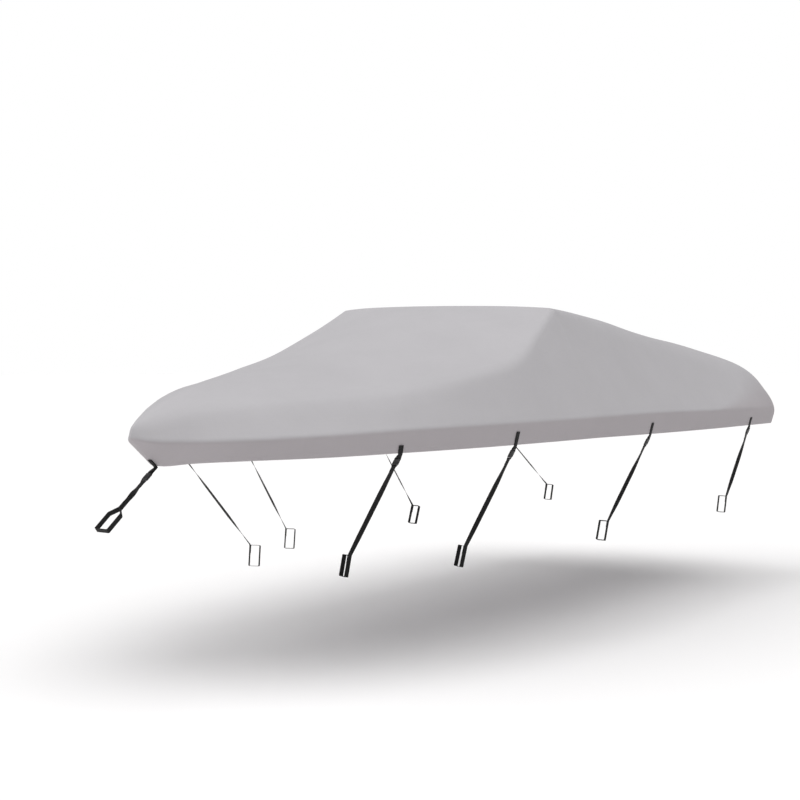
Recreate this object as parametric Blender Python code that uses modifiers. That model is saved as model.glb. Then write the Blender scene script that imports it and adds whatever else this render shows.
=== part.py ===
"""Fitted cover for a 5 m runabout that stands on its trailer.

One sheet of cloth hangs over the boat: a skirt below the gunwale, sloping sides, and a top
that rises over the windscreen. Nine webbing straps hold it down. Each has a tab sewn on the
skirt, a side-release buckle and a loop: eight go round the trailer's rails, one round its
winch post. The boat and the trailer are not part of it, so the cover is hollow.

Metres. +X runs aft, +Y to starboard, +Z up. The origin is under the cloth at the middle of
the windscreen's top edge, where the boat holds the cover up.
"""

import math
from collections import namedtuple

import bmesh
import bpy
from mathutils import Matrix, Vector

NAME = "boat_cover"

# Cloth
CLOTH_THICKNESS = 0.0025
HEM_INSET = 0.032        # the hem lies this far inside the gunwale's crease, less at the stem
GUNWALE_ROUND = 0.018    # how far the soft crease at the gunwale reaches each way
MERGE = 0.0001

# The cover's form, station by station from bow to stern, one side only.
# gunwale = crease over the rub rail; shoulder = where the sides turn into the top;
# crown = centre line; lift = fullness of the top between the shoulders; soft = reach of the
# shoulder's rounding; rake, drop = from the crease back and down to the hem; panels = strips
# of surface to the next station.
Station = namedtuple(
    "Station",
    "gunwale_x half_beam gunwale_z shoulder_x shoulder_y shoulder_z"
    " crown_x crown_z lift soft rake drop panels",
)
STATIONS = {
    "stem":     Station(-2.402, .000, -.637, -2.400, .000, -.596, -2.380, -.575, .004, .03, .157, .138, 2),
    "nose":     Station(-2.365, .058, -.650, -2.352, .042, -.581, -2.318, -.537, .008, .04, .120, .126, 2),
    "bow":      Station(-2.260, .158, -.658, -2.232, .115, -.540, -2.150, -.468, .022, .06, .082, .107, 3),
    "foredeck": Station(-2.060, .350, -.655, -2.015, .265, -.502, -1.900, -.404, .045, .08, .030, .099, 3),
    "entry":    Station(-1.760, .590, -.641, -1.710, .480, -.472, -1.560, -.358, .045, .10, .010, .105, 3),
    "locker":   Station(-1.360, .795, -.625, -1.330, .680, -.442, -1.190, -.318, .045, .10, .000, .112, 3),
    "deck":     Station(-.860, .945, -.618, -.850, .815, -.375, -.860, -.253, .045, .08, .000, .115, 3),
    "foot":     Station(-.380, 1.015, -.617, -.390, .855, -.280, -.520, -.148, .045, .045, .000, .116, 2),
    "pillar":   Station(-.120, 1.038, -.617, -.130, .800, -.154, -.245, -.060, .040, .035, .000, .117, 2),
    "screen":   Station(.180, 1.052, -.617, .132, .747, -.018, .000, .000, .025, .03, .000, .119, 3),
    "cockpit":  Station(.840, 1.058, -.622, .840, .720, -.080, .840, -.050, .045, .14, .000, .126, 4),
    "seats":    Station(1.640, 1.055, -.640, 1.640, .710, -.193, 1.640, -.138, .045, .18, .000, .120, 3),
    "aft":      Station(2.240, 1.049, -.653, 2.200, .730, -.262, 2.040, -.190, .045, .20, .000, .113, 2),
    "hip":      Station(2.540, 1.044, -.658, 2.480, .832, -.334, 2.160, -.206, .045, .20, .000, .111, 1),
    "quarter":  Station(2.690, 1.032, -.661, 2.615, .848, -.365, 2.220, -.215, .045, .20, .000, .110, 3),
    "corner":   Station(2.850, .935, -.664, 2.750, .780, -.382, 2.300, -.228, .045, .20, .000, .110, 2),
    "turn":     Station(2.884, .815, -.665, 2.782, .688, -.379, 2.322, -.232, .045, .195, .000, .110, 2),
    "transom":  Station(2.898, .450, -.666, 2.799, .390, -.351, 2.341, -.235, .045, .18, .000, .110, 3),
    "stern":    Station(2.902, .000, -.666, 2.802, .000, -.345, 2.350, -.237, .045, .18, .000, .110, 0),
}
RIDGE = "screen"         # the one station where the top folds over an edge
RIDGE_REACH = 0.030      # strips this wide each side keep that fold narrow
TAB_STRIP = 0.020        # and this wide each side of a tab keep the skirt flat under it
STEM_FLAT = 0.015        # half the width of the nearly flat strip down the stem
CLOSEST_LINES = 0.018    # other lines keep this far from those

# Strips of the section, from the hem up to the crown
SKIRT_STRIPS = 1
GUNWALE_STRIPS = 2
SIDE_STRIPS = 2
SHOULDER_STRIPS = 3
TOP_STRIPS = 4

# Webbing
WEB_WIDTH = 0.025
WEB_THICKNESS = 0.0016
GAP = 0.0003
TAB_CLEARANCE = 0.0005   # the skirt under a tab is not quite flat
LAYER = WEB_THICKNESS + GAP
TAIL = 0.040             # sewn length where a strap folds back on itself
BEND = 0.005
RUN_STRIPS = 12
SIDE_TURN = math.radians(42)  # how far a side strap turns to the bow on its way down
TURN_SHARE = 0.35             # of its run, over which it turns so and turns back
SQUARE = 0.01                 # two directions with a smaller product are at right angles

# Side-release buckle for 25 mm webbing, measured along the strap from its first bar
BAR_HALF = 0.0016
BAR_PLAY = 0.0012
BAR_WRAP = BAR_HALF + BAR_PLAY + WEB_THICKNESS / 2
SIDE_FREE = 0.022        # of a side tab, between hem and buckle
PAST_HEM = 0.005         # a tab keeps straight this far past the hem
BUCKLE_WIDTH = 0.034
CHEEK = 0.003
SOCKET_START = 0.009
SOCKET_END = 0.040
SOCKET_HEIGHT = 0.011
WALL = 0.0018
WINDOW_START = 0.015
WINDOW_END = 0.029
PLUG_START = SOCKET_END + 0.0006
PLUG_SHOULDER = 0.051
PLUG_BAR = 0.060
PLUG_HEIGHT = 0.009
PRONG_TIP = 0.014
PRONG_WIDTH = 0.0035
PRONG_HEIGHT = 0.0055
CATCH_OUT = 0.0022
GUIDE_WIDTH = 0.003

# What the straps go round
RAIL_WIDTH = 0.050
RAIL_HEIGHT = 0.100
RAIL_TOP = -1.290
RAIL_OFF_CENTRE = 0.720
RAIL_BEND_X = -0.350     # forward of this the rails run in towards the coupling
RAIL_TAPER = 0.451
POST_NEAR = Vector((-2.505, 0.0, -0.978))  # middle of the post's aft face
POST_WIDTH = 0.075
POST_DEPTH = 0.100
NECK = 0.040             # where the two layers of the bow strap part, ahead of the post
SLACK = 0.001            # between webbing and rail

# x of the tab, x of the loop, how far the tab reaches up the skirt, and how far the loop leans
SideStrap = namedtuple("SideStrap", "tab_x rail_x rise lean")
SIDE_STRAPS = (
    SideStrap(-1.375, -1.210, 0.040, math.radians(11)),
    SideStrap(-0.625, -0.574, 0.072, math.radians(14)),
    SideStrap(0.778, 0.838, 0.068, math.radians(20)),
    SideStrap(2.270, 2.590, 0.055, math.radians(15)),
)
BOW_RISE = 0.050
BOW_FREE = 0.040         # of the bow's tab, between hem and buckle

CLOTH_COLOUR = (0.62, 0.61, 0.62, 1.0)
WEB_COLOUR = (0.018, 0.018, 0.020, 1.0)
PLASTIC_COLOUR = (0.022, 0.022, 0.024, 1.0)


# ---------------------------------------------------------------- scene helpers

def clear_scene():
    for obj in list(bpy.data.objects):
        bpy.data.objects.remove(obj, do_unlink=True)


def collection(name):
    made = bpy.data.collections.new(name)
    bpy.context.scene.collection.children.link(made)
    return made


def material(name, colour, roughness):
    made = bpy.data.materials.new(name)
    made.use_nodes = True
    shader = made.node_tree.nodes["Principled BSDF"]
    shader.inputs["Base Color"].default_value = colour
    shader.inputs["Roughness"].default_value = roughness
    shader.inputs["Metallic"].default_value = 0.0
    return made


def place(name, mesh, finish, into, matrix=None):
    obj = bpy.data.objects.new(name, mesh)
    if not mesh.materials:
        mesh.materials.append(finish)
    if matrix is not None:
        obj.matrix_world = matrix
    into.objects.link(obj)
    return obj


def mesh_from(name, bm):
    mesh = bpy.data.meshes.new(name)
    bm.to_mesh(mesh)
    bm.free()
    return mesh


# ---------------------------------------------------------------- the cloth's form

class Outline:
    """Smooth curves through the stations, measured by length along the gunwale."""

    def __init__(self):
        self.rows = [tuple(row)[:-1] for row in STATIONS.values()]
        self.names = list(STATIONS)
        self.at_station = [0.0]
        for a, b in zip(self.rows, self.rows[1:]):
            step = math.dist(a[:3], b[:3])
            self.at_station.append(self.at_station[-1] + step)
        self.length = self.at_station[-1]
        self.slopes_in, self.slopes_out = self._slopes()

    def _slopes(self):
        s = self.at_station
        rows = self.rows
        chords = [
            [(b - a) / (s[i + 1] - s[i]) for a, b in zip(rows[i], rows[i + 1])]
            for i in range(len(rows) - 1)
        ]
        slopes = [self._end_slope(chords[0])]
        for i in range(1, len(rows) - 1):
            before = s[i] - s[i - 1]
            after = s[i + 1] - s[i]
            slopes.append([
                (a * after + b * before) / (before + after)
                for a, b in zip(chords[i - 1], chords[i])
            ])
        slopes.append(self._end_slope(chords[-1]))
        slopes_in = [list(row) for row in slopes]
        slopes_out = [list(row) for row in slopes]
        ridge = self.names.index(RIDGE)
        for column in range(3, len(rows[0])):  # the gunwale runs on smoothly under the ridge
            slopes_in[ridge][column] = 1.5 * chords[ridge - 1][column] - 0.5 * slopes[ridge - 1][column]
            slopes_out[ridge][column] = 1.5 * chords[ridge][column] - 0.5 * slopes[ridge + 1][column]
        return slopes_in, slopes_out

    @staticmethod
    def _end_slope(chord):
        """On the centre line only the sideways columns change, so both halves meet smoothly."""
        sideways = (1, 4)
        return [value if column in sideways else 0.0 for column, value in enumerate(chord)]

    def at(self, s):
        """The station values at length s, as a cubic between its two neighbours."""
        last = len(self.rows) - 2
        i = 0
        while i < last and s > self.at_station[i + 1]:
            i += 1
        span = self.at_station[i + 1] - self.at_station[i]
        t = min(max((s - self.at_station[i]) / span, 0.0), 1.0)
        start = 2 * t ** 3 - 3 * t ** 2 + 1
        leave = (t ** 3 - 2 * t ** 2 + t) * span
        arrive = (t ** 3 - t ** 2) * span
        values = [
            start * a + leave * out + (1 - start) * b + arrive * into
            for a, out, b, into in zip(
                self.rows[i], self.slopes_out[i], self.rows[i + 1], self.slopes_in[i + 1]
            )
        ]
        return Station(*values, panels=0)

    def outward(self, s):
        """Level direction away from the boat, square to the gunwale."""
        reach = 0.001
        if s < reach:
            return Vector((-1.0, 0.0, 0.0))
        if s > self.length - reach:
            return Vector((1.0, 0.0, 0.0))
        a = self.at(s - reach)
        b = self.at(s + reach)
        along = Vector((b.gunwale_x - a.gunwale_x, b.half_beam - a.half_beam, 0.0)).normalized()
        return Vector((-along.y, along.x, 0.0))

    def length_at_x(self, x):
        """Length along the gunwale where a tab at x is sewn; x only grows up to the quarter."""
        low = 0.0
        high = self.at_station[self.names.index("quarter")]
        for _ in range(40):
            middle = (low + high) / 2
            if self.at(middle).gunwale_x < x:
                low = middle
            else:
                high = middle
        return (low + high) / 2


def towards(start, end, reach):
    """A point from start towards end, at most 0.45 of the way."""
    step = end - start
    if step.length < MERGE:
        return start.copy()
    return start + step * min(reach / step.length, 0.45)


def straight(a, b, strips):
    return [a.lerp(b, i / strips) for i in range(strips)]


def curve(a, pull, b, strips):
    """A quadratic curve from a to b, drawn towards pull; b itself is left to the next run."""
    found = []
    for i in range(strips):
        t = i / strips
        found.append(a * (1 - t) ** 2 + pull * 2 * t * (1 - t) + b * t ** 2)
    return found


def skirt_line(outline, s):
    """Hem and the lower end of the gunwale's rounding at length s."""
    st = outline.at(s)
    gunwale = Vector((st.gunwale_x, st.half_beam, st.gunwale_z))
    inset = HEM_INSET if s > outline.length / 2 else min(HEM_INSET, st.half_beam / 2)
    hem = gunwale - outline.outward(s) * inset + Vector((st.rake, 0.0, -st.drop))
    return hem, towards(gunwale, hem, GUNWALE_ROUND)


def section(outline, s):
    """The cloth from the hem up over gunwale and shoulder to the crown."""
    st = outline.at(s)
    gunwale = Vector((st.gunwale_x, st.half_beam, st.gunwale_z))
    shoulder = Vector((st.shoulder_x, st.shoulder_y, st.shoulder_z))
    crown = Vector((st.crown_x, 0.0, st.crown_z))
    hem, below = skirt_line(outline, s)
    above = towards(gunwale, shoulder, GUNWALE_ROUND)
    side_end = towards(shoulder, gunwale, st.soft)
    aim = crown + Vector((0.0, 0.0, st.lift))
    top_start = towards(shoulder, aim, st.soft)
    rise = max(aim.z - top_start.z, MERGE)
    share = min(max((crown.z - top_start.z) / rise, 0.2), 0.9)
    pull = Vector((crown.x, top_start.y * (1 - share), crown.z))
    points = straight(hem, below, SKIRT_STRIPS)
    points += curve(below, gunwale, above, GUNWALE_STRIPS)
    points += straight(above, side_end, SIDE_STRIPS)
    points += curve(side_end, shoulder, top_start, SHOULDER_STRIPS)
    points += curve(top_start, pull, crown, TOP_STRIPS)
    points.append(crown)
    return points


def cut_lengths(outline):
    """Where the surface's lines run across it: between stations, at the ridge and at the tabs."""
    kept = {outline.at_station[outline.names.index(RIDGE)], STEM_FLAT}
    for sign in (-1, 1):
        kept.add(outline.at_station[outline.names.index(RIDGE)] + sign * RIDGE_REACH)
        for strap in SIDE_STRAPS:
            kept.add(outline.length_at_x(strap.tab_x) + sign * TAB_STRIP)
    panels = [row.panels for row in STATIONS.values()]
    for i, count in enumerate(panels[:-1]):
        for k in range(count):
            t = k / count
            s = outline.at_station[i] * (1 - t) + outline.at_station[i + 1] * t
            if s == 0.0 or all(abs(s - other) > CLOSEST_LINES for other in kept):
                kept.add(s)
    kept.add(outline.length)
    return sorted(kept)


def build_cover(outline, finish, into):
    bm = bmesh.new()
    lines = [
        [bm.verts.new(point) for point in section(outline, s)]
        for s in cut_lengths(outline)
    ]
    for fore, back in zip(lines, lines[1:]):
        for i in range(len(fore) - 1):
            bm.faces.new((fore[i], fore[i + 1], back[i + 1], back[i]))
    bmesh.ops.recalc_face_normals(bm, faces=bm.faces)
    crown_face = max(bm.faces, key=lambda face: face.calc_center_median().z)
    if crown_face.normal.z < 0:
        bmesh.ops.reverse_faces(bm, faces=bm.faces)
    mesh = mesh_from("cover", bm)
    mesh.shade_smooth()
    cover = place("cover", mesh, finish, into)
    mirror = cover.modifiers.new("other side", "MIRROR")
    mirror.use_axis = (False, True, False)
    mirror.merge_threshold = MERGE
    cloth = cover.modifiers.new("cloth", "SOLIDIFY")
    cloth.thickness = CLOTH_THICKNESS
    cloth.offset = 1.0
    cloth.use_even_offset = True
    return cover


# ---------------------------------------------------------------- webbing

def rounded(points, reach=BEND, steps=3):
    """The same route with each corner turned into a short curve."""
    route = [points[0]]
    for before, corner, after in zip(points, points[1:], points[2:]):
        a = towards(corner, before, reach)
        b = towards(corner, after, reach)
        route += curve(a, corner, b, steps)
        route.append(b)
    route.append(points[-1])
    return route


def web_mesh(name, route, widths):
    """Flat webbing along a route; widths gives the direction across it at each point."""
    bm = bmesh.new()
    rings = []
    for i, point in enumerate(route):
        along = (route[min(i + 1, len(route) - 1)] - route[max(i - 1, 0)]).normalized()
        across = (widths[i] - along * widths[i].dot(along)).normalized()
        out = along.cross(across)
        rings.append([
            bm.verts.new(point + across * (x * WEB_WIDTH / 2) + out * (y * WEB_THICKNESS / 2))
            for x, y in ((-1, -1), (1, -1), (1, 1), (-1, 1))
        ])
    for a, b in zip(rings, rings[1:]):
        # both faces split the same way, so twists keep the thickness
        for i, k in ((0, 1), (3, 2), (1, 2), (0, 3)):
            bm.faces.new((a[i], a[k], b[k]))
            bm.faces.new((a[i], b[k], b[i]))
    bm.faces.new(rings[0])
    bm.faces.new(rings[-1])
    bmesh.ops.recalc_face_normals(bm, faces=bm.faces)
    return mesh_from(name, bm)


# Where a strap starts: a point on the cloth at the hem, and three directions there
Anchor = namedtuple("Anchor", "point across down out")


def side_anchor(outline, strap, side):
    s = outline.length_at_x(strap.tab_x)
    hem_a, top_a = skirt_line(outline, s - TAB_STRIP)
    hem_b, top_b = skirt_line(outline, s + TAB_STRIP)
    mirrored = Vector((1.0, side, 1.0))
    hem = (hem_a + hem_b) / 2 * mirrored
    across = ((hem_b - hem_a) * mirrored).normalized()
    down = (hem - (top_a + top_b) / 2 * mirrored)
    down = (down - across * down.dot(across)).normalized()
    out = down.cross(across)
    if out.y * side < 0:
        out.negate()
    return Anchor(hem + out * CLOTH_THICKNESS, across, down, out)


def bow_anchor(outline):
    hem, top = skirt_line(outline, 0.0)
    down = (hem - top).normalized()
    across = Vector((0.0, 1.0, 0.0))
    out = across.cross(down)
    return Anchor(hem + out * CLOTH_THICKNESS, across, down, out)


# The buckle's own directions: across the strap, along it, and away from the boat
Lie = namedtuple("Lie", "bar across along away")


def lie_of(anchor, free, loop_start):
    """Where the buckle's first bar is, in line between the tab and the loop."""
    along = (loop_start - anchor.point).normalized()
    across = (anchor.across - along * anchor.across.dot(along)).normalized()
    down_part = along.dot(anchor.down)
    out_part = along.dot(anchor.out)
    away = (anchor.down * -out_part + anchor.out * down_part)
    away = (away - across * away.dot(across))
    away = (away - along * away.dot(along)).normalized()
    bar = anchor.point + anchor.out * (TAB_CLEARANCE + LAYER) + along * free
    along = (loop_start - bar).normalized()
    away = (away - along * away.dot(along)).normalized()
    across = along.cross(away)
    if across.dot(anchor.across) < 0:
        across.negate()
    return Lie(bar, across, along, away)


def wrap(bar, along, away, steps=4):
    """Half a turn round a bar, from its near side to its far side by way of along."""
    found = []
    for i in range(steps + 1):
        angle = math.pi * (i / steps - 0.5)
        found.append(bar + along * (BAR_WRAP * math.cos(angle)) + away * (BAR_WRAP * math.sin(angle)))
    return found


def tab_mesh(name, anchor, lie, rise):
    """A strip folded round the first bar, both ends sewn one over the other on the skirt."""
    near = TAB_CLEARANCE + WEB_THICKNESS / 2
    far = near + LAYER

    def on_skirt(down, out):
        return anchor.point + anchor.down * down + anchor.out * out

    start = rounded([
        on_skirt(-rise, near),
        on_skirt(PAST_HEM, near),
        lie.bar - lie.away * BAR_WRAP - lie.along * BAR_WRAP,
        lie.bar - lie.away * BAR_WRAP,
    ])[:-1]
    end = rounded([
        lie.bar + lie.away * BAR_WRAP,
        lie.bar + lie.away * BAR_WRAP - lie.along * BAR_WRAP,
        on_skirt(PAST_HEM, far),
        on_skirt(-rise - LAYER, far),
    ])[1:]
    turned = wrap(lie.bar, lie.along, lie.away)
    sewn = len(start) // 2
    widths = [anchor.across] * sewn + [lie.across] * (len(start) - sewn + len(turned))
    widths += [lie.across] * (len(end) - sewn) + [anchor.across] * sewn
    return web_mesh(name, start + turned + end, widths)


def eased(share):
    return share * share * (3 - 2 * share)


def twist(lie, across_end, turn, share):
    """The webbing's direction across: it ends square to the rail, and midway it turns further."""
    flat = (across_end - lie.along * across_end.dot(lie.along)).normalized()
    angle = math.atan2(lie.along.dot(lie.across.cross(flat)), lie.across.dot(flat))
    begun = min(share, 1 - share, TURN_SHARE) / TURN_SHARE
    return Matrix.Rotation(angle * eased(share) + turn * eased(begun), 3, lie.along) @ lie.across


def rail_loop(corner, out, up, lean):
    """Round a rail from its outer top corner and back under itself: two layers on that face."""
    inner = SLACK + WEB_THICKNESS / 2
    outer = inner + LAYER
    width = RAIL_WIDTH
    depth = RAIL_HEIGHT / math.cos(lean) + WEB_WIDTH * math.tan(lean)

    def at(sideways, high):
        return corner + out * sideways + up * high

    return [
        at(outer, outer),
        at(outer, -depth - inner),
        at(-width - inner, -depth - inner),
        at(-width - inner, inner),
        at(inner, inner),
        at(inner, -TAIL),
    ]


def post_loop(along):
    """A teardrop round the post, its two layers joined again where they meet the run."""
    port = Vector((0.0, -1.0, 0.0))
    layer = port * (LAYER / 2)
    half = POST_WIDTH / 2 + SLACK + WEB_THICKNESS / 2
    near = -SLACK - WEB_THICKNESS / 2
    far = POST_DEPTH - near
    neck = POST_NEAR - along * NECK
    return [
        neck - along * (1.5 * TAIL) + layer,
        neck + layer,
        POST_NEAR + port * half + along * near,
        POST_NEAR + port * half + along * far,
        POST_NEAR - port * half + along * far,
        POST_NEAR - port * half + along * near,
        neck - layer,
        neck - along * TAIL - layer,
    ]


def strap_mesh(name, lie, loop, loop_across, turn):
    """From a fold round the buckle's last bar straight to the loop, and round it."""
    bar = lie.bar + lie.along * PLUG_BAR
    if lie.across.dot(loop_across) < -SQUARE:
        loop_across = -loop_across
    tail = rounded([
        bar + lie.along * TAIL - lie.away * LAYER,
        bar + lie.along * (3 * BAR_WRAP) - lie.away * LAYER,
        bar - lie.away * BAR_WRAP,
    ])[:-1]
    fold = wrap(bar, -lie.along, lie.away)
    flat = [bar + lie.along * (3 * BAR_WRAP), bar + lie.along * TAIL]
    run = straight(flat[-1], loop[0], RUN_STRIPS)[1:]
    round_rail = rounded([run[-1]] + loop)[1:]
    route = tail + fold + flat + run + round_rail
    widths = [lie.across] * (len(tail) + len(fold) + len(flat))
    widths += [twist(lie, loop_across, turn, i / RUN_STRIPS) for i in range(1, RUN_STRIPS)]
    widths += [loop_across] * len(round_rail)
    return web_mesh(name, route, widths)


# ---------------------------------------------------------------- buckle

def block(low, high, bevel=0.0):
    """A box between two corners, its edges rounded, as a free bmesh."""
    bm = bmesh.new()
    size = Vector(high) - Vector(low)
    middle = (Vector(high) + Vector(low)) / 2
    bmesh.ops.create_cube(bm, size=1.0, matrix=Matrix.Translation(middle) @ Matrix.Diagonal((*size, 1.0)))
    if bevel:
        bmesh.ops.bevel(
            bm, geom=list(bm.edges), offset=bevel, offset_type="OFFSET",
            segments=1, profile=0.5, affect="EDGES", material=-1,
        )
    return bm


def combined(name, solids, cutters, scratch):
    """One mesh: the solids joined, the cutters taken away."""
    def helper(bm, label):
        obj = bpy.data.objects.new(label, mesh_from(label, bm))
        obj.hide_render = True
        obj.display_type = "WIRE"
        scratch.objects.link(obj)
        return obj

    base = helper(solids[0], name + "_base")
    others = [(helper(bm, name + "_add"), "UNION") for bm in solids[1:]]
    others += [(helper(bm, name + "_cut"), "DIFFERENCE") for bm in cutters]
    for other, operation in others:
        boolean = base.modifiers.new(operation.lower(), "BOOLEAN")
        boolean.object = other
        boolean.operation = operation
        boolean.solver = "EXACT"
    bpy.context.view_layer.update()
    graph = bpy.context.evaluated_depsgraph_get()
    mesh = bpy.data.meshes.new_from_object(base.evaluated_get(graph))
    mesh.name = name
    return mesh


def socket_mesh(scratch):
    """The half on the tab: a flat hollow housing, open below and at both sides."""
    half = BUCKLE_WIDTH / 2
    high = SOCKET_HEIGHT / 2
    inside = half - WALL
    solids = [
        block((-half, SOCKET_START, -high), (half, SOCKET_END, high), 0.0015),
        block((-half, -BAR_HALF, -BAR_HALF), (half, SOCKET_START + 0.002, BAR_HALF), 0.0008),
    ]
    cutters = [
        block((-half + CHEEK, BAR_HALF, -high), (half - CHEEK, SOCKET_START - 0.001, high)),
        block(
            (-inside, PRONG_TIP - 0.002, -high + WALL),
            (inside, SOCKET_END + 0.002, high - WALL),
        ),
        block((-half - WALL, WINDOW_START, -high + 2 * WALL), (half + WALL, WINDOW_END, high - 2 * WALL)),
    ]
    return combined("socket", solids, cutters, scratch)


def plug_mesh(scratch):
    """The half on the strap: two springing prongs and a guide on a flat frame with a bar."""
    half = BUCKLE_WIDTH / 2
    high = PLUG_HEIGHT / 2
    thin = PRONG_HEIGHT / 2
    reach = half - WALL - 2 * GAP
    solids = [
        block((-half, PLUG_START, -high), (half, PLUG_SHOULDER, high), 0.0012),
        block((-half, PLUG_START + 0.004, -BAR_HALF), (half, PLUG_BAR + BAR_HALF, BAR_HALF), 0.0008),
        block((-GUIDE_WIDTH / 2, PRONG_TIP, -thin), (GUIDE_WIDTH / 2, PLUG_START + 0.003, thin)),
    ]
    for side in (-1, 1):
        inner = side * (reach - PRONG_WIDTH)
        outer = side * reach
        catch = side * (reach + CATCH_OUT)
        near, far = sorted((inner, outer))
        solids.append(block((near, PRONG_TIP, -thin), (far, PLUG_START + 0.003, thin)))
        near, far = sorted((inner, catch))
        solids.append(block(
            (near, WINDOW_START + 2 * GAP, -high + 2 * WALL + GAP),
            (far, WINDOW_END - 2 * GAP, high - 2 * WALL - GAP),
            0.0006,
        ))
    cutters = [
        block(
            (-half + CHEEK, PLUG_SHOULDER + 0.001, -high),
            (half - CHEEK, PLUG_BAR - BAR_HALF, high),
        ),
    ]
    return combined("plug", solids, cutters, scratch)


def buckle_matrix(lie):
    """Buckle meshes are drawn with X across, Y along the strap and Z away from the boat."""
    turned = Matrix((lie.across, lie.along, lie.away)).transposed()
    if turned.determinant() < 0:
        turned = Matrix((-lie.across, lie.along, lie.away)).transposed()
    return Matrix.Translation(lie.bar) @ turned.to_4x4()


# ---------------------------------------------------------------- assembly

def rail_corner(x, side):
    """Outer top corner of a rail, and the rail's own direction there."""
    ahead = max(RAIL_BEND_X - x, 0.0)
    corner = Vector((x, side * (RAIL_OFF_CENTRE - ahead * RAIL_TAPER), RAIL_TOP))
    taper = RAIL_TAPER if ahead > 0 else 0.0
    return corner, Vector((1.0, side * taper, 0.0)).normalized()


def build_strap(name, anchor, rise, free, loop, loop_across, turn, meshes, finishes, into):
    lie = lie_of(anchor, free, loop[0])
    socket, plug = meshes
    web, plastic = finishes
    place("tab_" + name, tab_mesh("tab_" + name, anchor, lie, rise), web, into)
    place("buckle_socket_" + name, socket, plastic, into, buckle_matrix(lie))
    place("buckle_plug_" + name, plug, plastic, into, buckle_matrix(lie))
    place("strap_" + name, strap_mesh("strap_" + name, lie, loop, loop_across, turn), web, into)


def main():
    clear_scene()
    parts = collection(NAME)
    scratch = collection("cutters")
    scratch.hide_render = True
    cloth = material("coated_polyester_cloth", CLOTH_COLOUR, 0.8)
    web = material("black_webbing", WEB_COLOUR, 0.7)
    plastic = material("black_acetal", PLASTIC_COLOUR, 0.4)

    outline = Outline()
    build_cover(outline, cloth, parts)
    meshes = (socket_mesh(scratch), plug_mesh(scratch))
    finishes = (web, plastic)
    for label, side in (("port", -1), ("starboard", 1)):
        for number, strap in enumerate(SIDE_STRAPS, 1):
            corner, along_rail = rail_corner(strap.rail_x, side)
            out = along_rail.cross(Vector((0.0, 0.0, 1.0))) * -side
            up = Vector((0.0, 0.0, math.cos(strap.lean))) + along_rail * math.sin(strap.lean)
            build_strap(
                f"{label}_{number}", side_anchor(outline, strap, side), strap.rise, SIDE_FREE,
                rail_loop(corner, out, up, strap.lean), up.cross(out), -side * SIDE_TURN,
                meshes, finishes, parts,
            )
    anchor = bow_anchor(outline)
    along = (POST_NEAR - anchor.point).normalized()
    build_strap(
        "bow", anchor, BOW_RISE, BOW_FREE,
        post_loop(along), Vector((0.0, 1.0, 0.0)).cross(along), 0.0,
        meshes, finishes, parts,
    )


main()
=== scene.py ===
"""Looks for a fitted cover that hangs as over a small runabout, tied down by nine buckled straps."""

import math

import bmesh
import bpy
import numpy as np
from mathutils import Matrix, Vector


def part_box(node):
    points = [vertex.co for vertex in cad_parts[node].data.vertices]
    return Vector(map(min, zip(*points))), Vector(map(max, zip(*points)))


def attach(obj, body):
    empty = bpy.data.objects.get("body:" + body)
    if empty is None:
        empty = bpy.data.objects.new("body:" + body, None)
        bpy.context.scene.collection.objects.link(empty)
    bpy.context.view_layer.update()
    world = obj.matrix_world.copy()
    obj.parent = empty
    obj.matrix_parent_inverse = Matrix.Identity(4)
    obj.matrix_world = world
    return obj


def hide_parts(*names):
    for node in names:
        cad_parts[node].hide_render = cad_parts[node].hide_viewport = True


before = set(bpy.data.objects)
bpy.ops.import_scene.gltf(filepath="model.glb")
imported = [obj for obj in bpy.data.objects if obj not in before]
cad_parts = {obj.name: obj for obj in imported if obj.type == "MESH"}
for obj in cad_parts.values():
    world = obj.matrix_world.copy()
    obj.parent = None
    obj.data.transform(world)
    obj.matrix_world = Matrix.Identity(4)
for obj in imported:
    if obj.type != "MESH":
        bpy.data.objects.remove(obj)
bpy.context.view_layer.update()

MM = 0.001

# ---------------------------------------------------------------- camera, floor and light

CAMERA_AT = (-7.2165, -4.9746, -0.1758)   # off the port bow, at the height of the windscreen
CAMERA_TURN = 0.946801787                 # from straight across towards the stern
CAMERA_TILT = 0.042184008
CAMERA_LENS = 67.5
SENSOR = 36.0
CAMERA_REACH = 200.0
FLOOR_Z = -1.85                           # the ground that the trailer stands on
FLOOR_RADIUS = 60.0
FLOOR_SIDES = 96
FLOOR_ROUGHNESS = 0.9
FILL = 0.23                               # light from all round
BACKDROP = 1.0                            # what the camera sees behind everything
SUN_WIDTH = 60.0
SUNS = (                                  # name, turn from the bow, height, strength
    ("bow_panel", 315.0, 45.0, 1.42),
    ("overhead_panel", 90.0, 75.0, 1.64),
    ("port_panel", 90.0, 45.0, 0.31),
)


def srgb(code):
    """A linear colour from its sRGB hex value."""
    parts = [int(code[i:i + 2], 16) / 255 for i in (1, 3, 5)]
    linear = [p / 12.92 if p <= 0.04045 else ((p + 0.055) / 1.055) ** 2.4 for p in parts]
    return (*linear, 1.0)


def put(obj):
    bpy.context.scene.collection.objects.link(obj)
    return obj


def piece_from(bm, name, finish):
    mesh = bpy.data.meshes.new(name)
    bm.to_mesh(mesh)
    bm.free()
    mesh.materials.append(finish)
    made = put(bpy.data.objects.new(name, mesh))
    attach(made, "root")
    return made


def new_material(name):
    made = bpy.data.materials.new(name)
    made.use_nodes = True
    return made, made.node_tree, made.node_tree.nodes["Principled BSDF"]


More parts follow.
